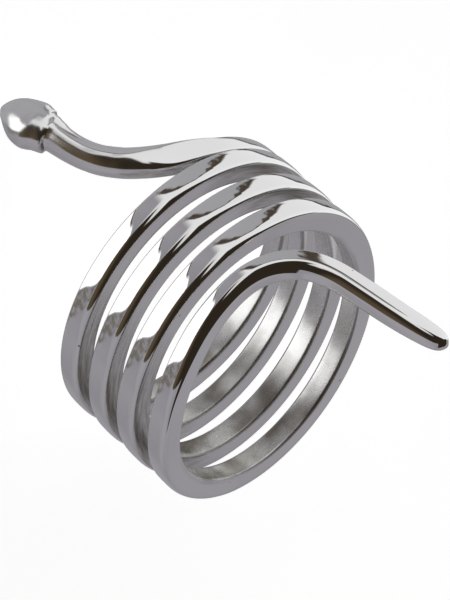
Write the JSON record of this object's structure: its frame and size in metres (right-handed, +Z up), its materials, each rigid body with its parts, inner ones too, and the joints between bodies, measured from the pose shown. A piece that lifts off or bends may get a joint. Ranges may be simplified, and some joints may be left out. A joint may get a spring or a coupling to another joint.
{
  "type": "snake ring",
  "caption": "Silver finger ring in the form of a snake: a square strip coiled round the finger, with a smooth egg-shaped head at one end and a straight tapered tail at the other.",
  "frame": {"origin": "middle of the box under the ring, on the surface that it lies on", "axes": "+Z up from the surface; +Y along the longest side of the box; the tail points up and towards +Y, the head lies low towards -Y and -X"},
  "size_m": [0.0218, 0.0276, 0.0253],
  "materials": {
    "silver": "polished outside, cast satin inside"
  },
  "bodies": {
    "root": {"snake_band": "silver"}
  },
  "joints": []
}
